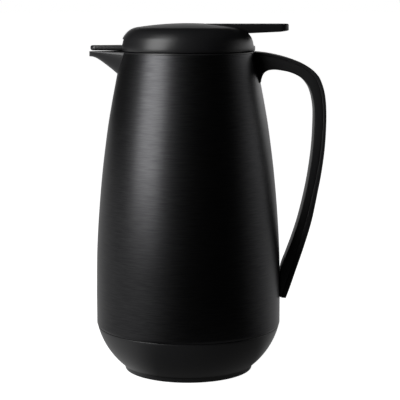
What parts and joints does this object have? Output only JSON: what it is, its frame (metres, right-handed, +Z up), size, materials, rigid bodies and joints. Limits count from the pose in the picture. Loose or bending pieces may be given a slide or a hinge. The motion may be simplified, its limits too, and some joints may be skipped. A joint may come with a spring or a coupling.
{
  "type": "insulated jug",
  "caption": "Insulated serving jug with a tapered metal shell, bowl base, loop handle, covered spout and a press-lever stopper lid.",
  "frame": {"origin": "centre of the foot's resting face", "axes": "+Z up, the spout points to -X and the handle to +X, Y across the jug"},
  "size_m": [0.177, 0.14, 0.2629],
  "materials": {
    "shell": "black coated, fine horizontal brush lines, satin",
    "black_plastic": "smooth satin black",
    "inner_plastic": "plain black",
    "rubber": "dull",
    "seal": "translucent white silicone",
    "liner_glass": "silvered glass",
    "steel": "bright"
  },
  "bodies": {
    "jug": {"outer_shell": "shell", "base_cap": "black_plastic", "base_ring": "inner_plastic", "foot_pad": "rubber", "collar": "black_plastic", "neck_gasket": "seal", "handle_grip": "black_plastic", "handle_cover": "black_plastic", "handle_upper_screws": "steel", "handle_lower_screw": "steel", "handle_washer": "steel", "liner_outer_glass": "liner_glass", "liner_inner_glass": "liner_glass", "liner_spacers": "inner_plastic", "liner_cushion": "rubber"},
    "lid": {"lid_dome": "black_plastic", "lid_screws": "steel", "stopper_deck": "inner_plastic", "stopper_cup": "inner_plastic", "stopper_gasket": "seal", "stem_seal": "seal", "lever_pin": "steel", "flap_pin": "steel"},
    "lever": {"thumb_lever": "black_plastic"},
    "flap": {"spout_flap": "black_plastic"},
    "valve": {"valve_stem": "steel", "stem_button": "inner_plastic", "valve_plug": "inner_plastic", "valve_seal": "seal", "plug_screw": "steel", "return_spring": "steel"}
  },
  "joints": [
    {"name": "lid_turn", "type": "hinge", "parent": "jug", "child": "lid", "pos_m": [0, 0, 0.242], "axis": [0, 0, 1], "range_deg": [0, 60]},
    {"name": "lever_press", "type": "hinge", "parent": "lid", "child": "lever", "pos_m": [-0.037, 0, 0.2525], "axis": [0, 1, 0], "range_deg": [0, 5.4], "stiffness_Nm_per_rad": 1.2, "springref_deg": -6.88},
    {"name": "valve_slide", "type": "slide", "parent": "lid", "child": "valve", "axis": [0, 0, -1], "range_m": [0, 0.0036], "deforming": ["return_spring"]},
    {"name": "flap_lift", "type": "hinge", "parent": "lid", "child": "flap", "pos_m": [-0.028, 0, 0.2472], "axis": [0, 1, 0], "range_deg": [0, 11.3]}
  ],
  "couplings": [
    {"joint": "valve_slide", "follows": "lever_press", "m_per_rad": 0.037},
    {"joint": "flap_lift", "follows": "lever_press", "ratio": 2.04}
  ]
}
